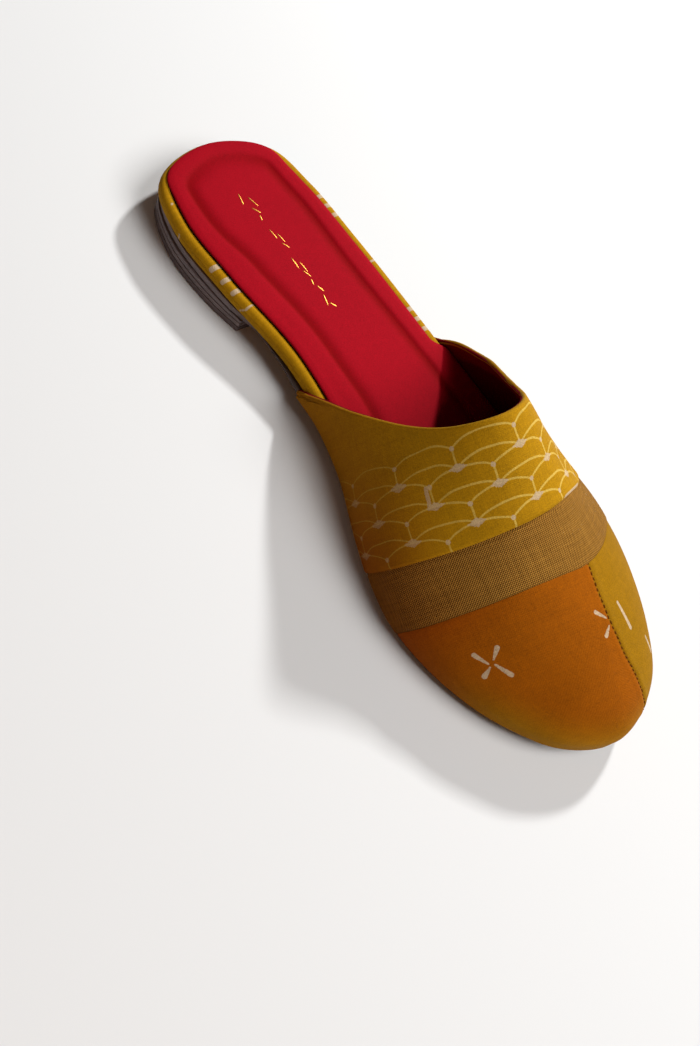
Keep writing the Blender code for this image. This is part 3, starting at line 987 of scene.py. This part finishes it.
def toe_box(material):
    """The toe: two panels joined along one seam, over the whole toe. Gives its unraised points."""
    across, down = 300, 130
    piece, columns, rows = patch("toe_panels", across, down)
    around = np.linspace(-1, 1, across + 1)
    first = along_at(around, curve(LINEN_SEAM, around) * MM - LAP)
    points = upper_point(around[columns], first[columns] + (1 - first[columns]) * rows / down)
    set_points(piece, points)
    note(piece, "row", rows)
    lay_flat(piece, points, columns, rows, 0)
    edit(piece, (bpy.ops.mesh.remove_doubles, {"threshold": SAME_PLACE}))
    face_out(piece, INSIDE)

    points = read_points(piece)
    station, x = station_of(points) / MM, (points[:, 0] - SHIFT_X) / MM
    steps = np.linspace(196, 254, 59)
    steepness = np.interp(station, steps, np.gradient(curve(TOE_SEAM, steps)))
    aside = (x - curve(TOE_SEAM, station)) / np.sqrt(1 + steepness**2)
    falling = np.abs(read_normals(piece)[:, 2]) + 0.15
    note(piece, "seam_side", aside / np.minimum(falling, 1))
    # painted shade over the toe's inner side, towards its back
    inner = ease((-points[:, 0] / MM - 14) / 26) * ease((208 - station) / 26)
    note(piece, "painted_inner_shade", inner)
    # painted reflection: golden glow near the toe's lower edge
    height = (points[:, 2] - seat(station * MM)) / MM
    note(piece, "painted_bounce_glow", ease((17 - height) / 14) * ease((station - 200) / 30))
    strokes = [(on_surface(points, *start), on_surface(points, *end), thin, thick)
               for start, end, thin, thick in TOE_PRINT]
    note(piece, "print", tapered_strokes(points, strokes))
    lift = soft_creases(points, TOE_CREASES) + gentle_waves(points, 0.035, 0.3, 5)
    lift -= 0.35 * swell(aside, 0.45)
    lift += 0.18 * swell(np.abs(aside) - 1.6, 1.2)
    lift -= 0.3 * (noted(piece, "row") < 3)
    finish_sheet(piece, points, lift, PANEL_THICK, material)
    return points


def lining(material):
    """The dark lining, inside the wall, with a tape along the throat edge."""
    across, down = 170, 110
    piece, columns, rows = patch("lining", across, down)
    around = np.linspace(-1, 1, across + 1)
    set_points(piece, upper_point(around[columns], (rows / down) ** 1.2))
    note(piece, "row", rows)
    edit(piece, (bpy.ops.mesh.remove_doubles, {"threshold": SAME_PLACE}))
    face_out(piece, INSIDE)
    points = read_points(piece)
    depth = np.full(len(points), (UPPER_WALL - LINING_FACE) / MM)
    return finish_sheet(piece, points, -depth, LINING_THICK, material)


# The seam's thread

def bead(length, width, height):
    """One short stitch lying along X."""
    bpy.ops.mesh.primitive_uv_sphere_add(segments=8, ring_count=6, radius=0.5)
    stitch = bpy.context.object
    points = read_points(stitch)
    points[:, 0] = np.sign(points[:, 0]) * np.abs(points[:, 0] * 2) ** 0.6 / 2
    set_points(stitch, points * np.array([length, width, height]))
    return stitch


def join(name, parts):
    """Make one piece of several."""
    bpy.ops.object.select_all(action="DESELECT")
    for part in parts:
        part.select_set(True)
    bpy.context.view_layer.objects.active = parts[0]
    bpy.ops.object.join()
    joined = bpy.context.object
    joined.name = name
    return joined


def laid_beads(name, spots, length, width, height):
    """Copies of one bead at each spot: point, direction, normal."""
    first = bead(length, width, height)
    shape = read_points(first)
    parts = []
    for point, direction, normal in spots:
        part = first.copy()
        part.data = first.data.copy()
        bpy.context.collection.objects.link(part)
        direction = direction - normal * (direction @ normal)
        direction = direction / np.linalg.norm(direction)
        side = np.cross(normal, direction)
        lengthwise, sideways, upwards = shape[:, :1], shape[:, 1:2], shape[:, 2:]
        set_points(part, point + lengthwise * direction + sideways * side + upwards * normal)
        parts.append(part)
    bpy.data.objects.remove(first)
    return join(name, parts)


def surface_spot(points, normals, x, station):
    """The point and normal of a surface at an X and station in mm, from the closest few points."""
    away = np.hypot((points[:, 0] - SHIFT_X) / MM - x, station_of(points) / MM - station)
    closest = np.argsort(away - normals[:, 2] * 0.2)[:6]
    weight = 1 / (away[closest] + 0.05)
    point = (points[closest] * weight[:, None]).sum(0) / weight.sum()
    normal = normals[closest].mean(0)
    return point, normal / np.linalg.norm(normal)


STITCH_PITCH = 1.85 * MM
STITCH = (1.45 * MM, 0.34 * MM, 0.4 * MM)


def toe_stitches(toe_points, material):
    """Short dark stitches along the toe seam, each a little aslant."""
    stations = np.linspace(198.5, 252.0, 700)
    flat = np.stack([curve(TOE_SEAM, stations), stations], 1)
    traced = np.array([on_surface(toe_points, *spot) for spot in flat[::10]])
    run = run_along(traced)
    spots = []
    for mark in np.arange(1.0 * MM, run[-1], STITCH_PITCH):
        behind, point, ahead = (np.array([np.interp(mark + step, run, traced[:, a])
                                          for a in range(3)]) for step in (-MM, 0, MM))
        direction = ahead - behind
        direction = direction + np.array([0.25, 0, 0]) * np.linalg.norm(direction)
        normal = point - place(station_of(point) - 0.012, 0.0, 0.004)
        spots.append((point, direction, normal / np.linalg.norm(normal)))
    piece = laid_beads("toe_seam_thread", spots, *STITCH)
    smooth(piece, 80)
    return finish(piece, material, "upper_cotton")


# Footbed, sock and sole

SPINE_START, SPINE_END = 0.026, 0.222


def lofted(name, rings, cap_rows=(0, 0), cap_heights=(0.0, 0.0)):
    """A closed piece through rings of (station, X, height); a cap closes on the middle line.

    Each point keeps its run round the outline and its run along the rings, in mm.
    """
    around = len(rings[0])
    layers = [np.asarray(one, float) for one in rings]
    partner = FOOTBED_EDGE[(-np.arange(around)) % around]
    middle = (FOOTBED_EDGE + partner) / 2
    half = around // 2 + 1
    inside = np.clip(middle[:, 0], SPINE_START, SPINE_END)
    middle = np.column_stack([inside, np.interp(inside, middle[:half, 0], middle[:half, 1])])

    def cap(edge, count, height):
        return [np.column_stack([middle + (edge[:, :2] - middle) * (1 - k / count),
                                 np.full(around, height * MM)]) for k in range(1, count + 1)]

    layers = (cap(layers[0], cap_rows[0], cap_heights[0])[::-1] + layers
              + cap(layers[-1], cap_rows[1], cap_heights[1]))
    stack = np.array(layers)
    piece, columns, rows = patch(name, around, len(layers) - 1)
    shoe = stack[rows, columns % around]
    run = run_along(np.vstack([FOOTBED_EDGE, FOOTBED_EDGE[:1]]))
    note(piece, "run", np.where(run > run[-1] / 2, run - run[-1], run)[columns] / MM)
    note(piece, "turn", run_along(stack[:, around // 4])[rows] / MM)
    points = place(shoe[:, 0], shoe[:, 1], seat(shoe[:, 0]) + shoe[:, 2])
    set_points(piece, points)
    edit(piece, (bpy.ops.mesh.remove_doubles, {"threshold": 2e-6}),
         (bpy.ops.mesh.normals_make_consistent, {"inside": False}))
    return piece


def ring(inset, height):
    """The platform's outline moved in, at a height over the platform's underside; both in mm."""
    distance = np.asarray(inset)[..., None] if np.ndim(inset) else inset
    inside = offset_loop(FOOTBED_EDGE, -distance * MM)
    return np.column_stack([inside, np.full(len(inside), height * MM)])


# Dashes of the rim: side, station of the top, top and bottom as runs down from the sock's edge,
# forward drift, half widths at both ends, all in mm
RIM_DASHES = (
    (-1, 48.8, -1.0, 3.3, -0.6, 1.00, 0.95), (-1, 54.5, -1.0, 3.2, -0.6, 0.90, 0.85),
    (-1, 59.7, -1.0, 3.0, -0.6, 0.90, 0.85), (-1, 66.6, -1.0, 3.2, -0.6, 0.50, 0.45),
    (-1, 66.0, 3.2, 5.9, -1.6, 0.45, 0.40), (-1, 19.9, 1.0, 1.4, 0.2, 0.45, 0.40),
    (1, 34.1, -1.0, 3.4, 0.3, 0.90, 0.85), (1, 38.6, -1.0, 3.4, 0.3, 0.90, 0.85),
    (1, 43.1, -1.0, 3.4, 0.3, 0.90, 0.85), (1, 65.0, -1.0, 3.0, 0.3, 0.50, 0.40),
    (1, 87.2, -1.0, 3.4, 0.3, 0.90, 0.85), (1, 91.6, -1.0, 3.4, 0.3, 0.90, 0.85),
    (1, 96.0, -1.0, 3.4, 0.3, 0.90, 0.85), (-1, 31.0, 4.4, 7.0, 0.4, 0.40, 0.35),
)


def run_at(side, station):
    """The signed run round the outline, in mm, at a station in mm."""
    around = np.vstack([FOOTBED_EDGE, FOOTBED_EDGE[:1]])
    run = run_along(around) / MM
    if side > 0:
        part, runs = slice(HEEL_BACK, HALF_WAY), run
    else:
        part, runs = slice(-HEEL_BACK - 1, HALF_WAY - 1, -1), run - run[-1]
    return np.interp(station * MM, around[part, 0], runs[part])


def rim_wrap(material):
    """The cotton round the footbed's edge: bulged side with a soft fold, rounded top."""
    profile = [(6.0, 0.0), (1.6, 0.0), (0.75, 0.06), (0.30, 0.35), (0.08, 0.9), (0.0, 1.5),
               (0.04, 1.95), (0.08, 2.2), (0.03, 2.5), (-0.02, 2.9)]
    for angle in np.linspace(0, math.pi / 2, 9):
        profile.append((2.2 * (1 - math.cos(angle)) + 0.02, 2.85 + 2.15 * math.sin(angle)))
    profile += [(2.8, 4.97), (3.25, 4.82), (3.5, 4.45), (3.62, 4.05), (4.2, 3.9), (7.0, 3.9)]
    piece = lofted("rim_wrap", [ring(*spot) for spot in profile], (6, 6), (0.0, 3.9))
    points, run, turn = read_points(piece), noted(piece, "run"), noted(piece, "turn")
    station, x, height = ring(3.2, 4.8)[len(FOOTBED_EDGE) // 4]
    beside_sock = place(station, x, seat(station) + height)
    down_from_sock = turn[np.argmin(np.abs(points - beside_sock).sum(1))] - turn
    flat = np.stack([run, down_from_sock, np.zeros(len(run))], 1) * MM
    strokes = []
    for side, station, top, bottom, drift, wide, narrow in RIM_DASHES:
        start, end = run_at(side, station), run_at(side, station + drift)
        strokes.append((np.array([start, top, 0]) * MM, np.array([end, bottom, 0]) * MM,
                        wide, narrow))
    note(piece, "print", tapered_strokes(flat, strokes))
    lay_cloth(piece, run * MM, turn * MM)
    smooth(piece, 70)
    return finish(piece, material, "rim_cotton", "platform")


# The sock's pressed groove on each side: station, inset from the platform's edge in mm
GROOVE = {
    -1: ((0.0, 7.0), (10.0, 8.6), (20.0, 10.4), (38.0, 12.4), (52.0, 14.4), (95.0, 14.8),
         (117.0, 16.6), (250.0, 17.0)),
    1: ((0.0, 7.0), (10.0, 8.6), (20.0, 10.6), (38.0, 11.2), (67.0, 12.2), (91.0, 11.6),
        (115.0, 11.0), (250.0, 12.0)),
}


def edge_distance(points):
    """Distance in mm from the platform's edge, and the side, for each point."""
    flat = np.stack([station_of(points), points[:, 0] - SHIFT_X], 1)
    away = np.empty(len(flat))
    side = np.empty(len(flat), int)
    coarse = FOOTBED_EDGE[::2]
    at_once = 4000
    for start in range(0, len(flat), at_once):
        these = slice(start, start + at_once)
        far = np.linalg.norm(flat[these, None] - coarse[None], axis=2)
        away[these] = far.min(1)
        side[these] = np.where(far.argmin(1) < len(coarse) // 2, 1, -1)
    return away / MM, side


def sock_margin():
    """Inset of the sock's edge in mm: slight at the back of the heel, none inside the upper."""
    station = FOOTBED_EDGE[:, 0] / MM
    margin = 1.4 + 2.3 * ease((station - 3) / 16)
    outer = np.arange(len(FOOTBED_EDGE)) < HALF_WAY
    return margin - 3.75 * ease((station - np.where(outer, 100, 110)) / np.where(outer, 8, 10))


def sock(material):
    """The leather sock: rounded edge and a soft pressed groove inside it."""
    base = (PLATFORM_THICK + GAP) / MM
    margin = sock_margin()
    profile = [(1.5, base - 0.3), (0.3, base - 0.3), (0.06, base - 0.05), (0.0, base + 0.15),
               (0.08, base + 0.38), (0.3, base + 0.56), (0.9, base + 0.72), (2.2, base + 0.9)]
    rings = [ring(margin + inset, height) for inset, height in profile]
    piece = lofted("sock_leather", rings, (3, 60), (base - 0.3, base + 0.9))
    points = read_points(piece)
    away, side = edge_distance(points)
    station = station_of(points) / MM
    beyond = away - np.where(side > 0, curve(GROOVE[1], station), curve(GROOVE[-1], station))
    pressed = swell(beyond, np.where(beyond > 0, 2.8, 1.3))
    depth = 0.45 + 0.55 * ease((station - 6) / 14)
    lift = (-0.52 * pressed + 0.1 * swell(beyond + 4.5, 3.0)) * depth
    is_top = points[:, 2] - seat(station * MM) > (base + 0.3) * MM
    lift = np.where(is_top, lift * ease((away - 3.0) / 3), 0.0)
    lift += gentle_waves(points, 0.04, 0.08, 9) * is_top
    points[:, 2] += lift * MM
    set_points(piece, points)
    # painted shade: where the groove is pressed, the sock is coloured a deeper red
    note(piece, "pressed", pressed * is_top * depth)
    lay_cloth(piece, points[:, 0], points[:, 1])
    smooth(piece, 70)
    return finish(piece, material, "sock_leather", "sock")


def copy_of_node(node, name, softening):
    """A node's own shape with its edges softened."""
    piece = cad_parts[node].copy()
    piece.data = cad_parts[node].data.copy()
    piece.parent = None
    for key in list(piece.keys()):
        del piece[key]
    bpy.context.collection.objects.link(piece)
    piece.name = name
    edit(piece, (bpy.ops.mesh.remove_doubles, {"threshold": 1e-6}),
         (bpy.ops.mesh.tris_convert_to_quads, {}))
    modifier = piece.modifiers.new("soft_edges", "BEVEL")
    modifier.width = softening
    modifier.segments = 2
    modifier.limit_method = "ANGLE"
    modifier.angle_limit = math.radians(50)
    only(piece)
    bpy.ops.object.modifier_apply(modifier=modifier.name)
    smooth(piece, 50)
    return piece


# How far the heel's inner side stands out at the floor: station, distance in mm
HEEL_FLARE = ((0.0, 0.0), (10.0, 0.4), (22.0, 1.4), (30.0, 2.0), (44.0, 2.5), (54.0, 2.2),
              (67.0, 0.9))


def draw_in(piece, points, distance):
    """Move points level towards the middle line, by distances in metres."""
    middle = (FOOTBED_EDGE[:HALF_WAY, 1] + FOOTBED_EDGE[-np.arange(HALF_WAY), 1]) / 2
    inner = np.clip(station_of(points), 0.03, 0.22)
    centre = place(inner, np.interp(inner, FOOTBED_EDGE[:HALF_WAY, 0], middle), points[:, 2])
    inwards = centre - points
    inwards /= np.maximum(np.linalg.norm(inwards, axis=1), 1e-9)[:, None]
    set_points(piece, points + inwards * distance[:, None])
    return piece


def heel_flare(points, side, on_inner, on_outer):
    """How far the heel stands out at each point, in mm, with a share of the table on each side."""
    return curve(HEEL_FLARE, station_of(points) / MM) * np.where(side < 0, on_inner, on_outer)


def tuck_under(piece):
    """Draw the sole's wall inwards towards its lower edge, and let it stand out over the heel."""
    points = read_points(piece)
    away, side = edge_distance(points)
    low = 1 - (points[:, 2] - (seat(station_of(points)) - OUTSOLE_THICK)) / OUTSOLE_THICK
    forward = ease((station_of(points) / MM - 64) / 6)
    tuck = (0.5 + 1.4 * np.clip(low, 0, 1)) * ease((3.5 - away) / 2) * MM
    stand = heel_flare(points, side, 0.8, 0.3) * MM - 0.6 * MM
    note(piece, "under_heel", 1 - forward)
    return draw_in(piece, points, tuck * forward - stand * (1 - forward) * ease((4.0 - away) / 2))


def flare_heel(piece):
    """Let the stacked heel stand out towards the floor, most on its inner side."""
    points = read_points(piece)
    away, side = edge_distance(points)
    low = 1 - 0.25 * points[:, 2] / np.maximum(seat(station_of(points)), MM)
    stand = heel_flare(points, side, 1.0, 0.5) * low * ease((4.0 - away) / 2)
    return draw_in(piece, points, -stand * MM)


# Gold dashes along the sock: station, X, forward run, sideways run, in mm
STAMP = (
    (24.5, -8.2, 5.0, -0.8), (27.0, -5.6, 4.6, 1.6), (31.5, -7.0, 3.0, 2.2),
    (35.0, -5.8, 2.6, -0.4), (41.5, -5.8, 4.4, 0.6), (44.0, -3.9, 4.2, 0.9),
    (48.0, -4.6, 2.8, 1.8), (54.5, -4.8, 5.0, 0.3), (57.0, -2.8, 4.8, 0.7),
    (60.5, -3.6, 3.2, 1.6), (64.5, -2.6, 2.6, -0.3), (67.5, -2.0, 3.0, 1.4),
    (71.5, -1.6, 4.6, -0.8), (75.0, -1.2, 2.4, 1.8),
)
DASH_WIDE, DASH_HIGH = 0.55 * MM, 0.22 * MM


def ornament(sock_piece, material):
    """Plain slanting dashes of gold along the middle of the sock, in three groups."""
    points, normals = read_points(sock_piece), read_normals(sock_piece)
    top = normals[:, 2] > 0.5
    points, normals = points[top], normals[top]
    dashes = []
    for station, x, forward, sideways in STAMP:
        point, normal = surface_spot(points, normals, x + sideways / 2, station + forward / 2)
        dashes.append(laid_beads("dash", [(point, np.array([sideways, -forward, 0.0]), normal)],
                                 math.hypot(forward, sideways) * MM, DASH_WIDE, DASH_HIGH))
    piece = join("sock_stamp", dashes)
    smooth(piece, 80)
    return finish(piece, material, "sock_leather")


# Build

throat_band(band_cotton())
linen_band(linen())
toe_points = toe_box(toe_cotton())
lining(suede("lining_cotton", LINING_RED, 0.85, 0.04, TAPE_RED, "row", (10.0, 7.5)))
toe_stitches(toe_points, plain_thread())
rim_wrap(rim_cotton())
# the sock's groove gets painted shade in a deeper red
sock_piece = sock(suede("red_suede", SOCK_RED, 0.7, 0.03, GROOVE_SHADE_RED, "pressed"))
ornament(sock_piece, gold_foil())

sole_leather = dark_edge("outsole_edge", OUTSOLE_BROWN, 0.6, 3000.0, HEEL_SEAT_GREY)
stack_leather = dark_edge("heel_stack_edge", STACK_GREY, 0.5, 6000.0)
top_rubber = dark_edge("heel_rubber_edge", RUBBER_GREY, 0.7, 2000.0)
finish(tuck_under(copy_of_node("outsole", "outsole_edge", 0.3 * MM)), sole_leather,
       "outsole_leather", "outsole")
for node, name, softening, material, slot in (
        ("heel_lift_1", "lift_1", 0.1, stack_leather, "heel_leather"),
        ("heel_lift_2", "lift_2", 0.1, stack_leather, "heel_leather"),
        ("heel_top_piece", "top_piece", 0.15, top_rubber, "heel_rubber")):
    finish(flare_heel(copy_of_node(node, name, softening * MM)), material, slot, node)

# Studio

bpy.ops.mesh.primitive_plane_add(size=6.0, location=(0, 0, -0.0002))
floor = bpy.context.object
floor.name = "studio_floor"
floor_paper = bpy.data.materials.new("pale_paper")
floor_paper.use_nodes = True
paper_shader = floor_paper.node_tree.nodes["Principled BSDF"]
paper_shader.inputs["Base Color"].default_value = colour(0.69, 0.71, 0.735)
paper_shader.inputs["Roughness"].default_value = 0.95
floor.data.materials.append(floor_paper)

sky = bpy.data.worlds.new("studio")
sky.use_nodes = True
backdrop = sky.node_tree.nodes["Background"]
backdrop.inputs["Color"].default_value = colour(1.0, 1.0, 1.0)
backdrop.inputs["Strength"].default_value = 0.05
bpy.context.scene.world = sky


def softbox(name, azimuth, elevation, distance, size, power, tint):
    """A square light aimed at the shoe; azimuth from +X towards +Y."""
    lamp = bpy.data.lights.new(name, "AREA")
    lamp.energy = power
    lamp.size = size
    lamp.color = tint
    box = bpy.data.objects.new(name, lamp)
    bpy.context.scene.collection.objects.link(box)
    a, e = math.radians(azimuth), math.radians(elevation)
    away = np.array([math.cos(a) * math.cos(e), math.sin(a) * math.cos(e), math.sin(e)])
    box.location = away * distance
    box.rotation_euler = Vector(away).to_track_quat("Z", "Y").to_euler()


softbox("key_light", 22, 36, 1.3, 0.10, 16.5, (1.0, 0.98, 0.94))
softbox("front_light", -62, 54, 1.5, 0.9, 22, (1.0, 0.97, 0.93))
softbox("warm_bounce", 195, 30, 1.1, 0.4, 0.9, (1.0, 0.36, 0.06))

camera_data = bpy.data.cameras.new("camera")
camera_data.lens = 37.54
camera_data.sensor_width = 36.0
camera_data.clip_start = 0.01
camera = bpy.data.objects.new("camera", camera_data)
camera.location = (-0.22025, -0.08097, 0.30770)
camera.rotation_euler = (math.radians(25.57), math.radians(-20.463), math.radians(-35.286))
bpy.context.scene.collection.objects.link(camera)
bpy.context.scene.camera = camera
bpy.context.scene.view_settings.view_transform = "Standard"
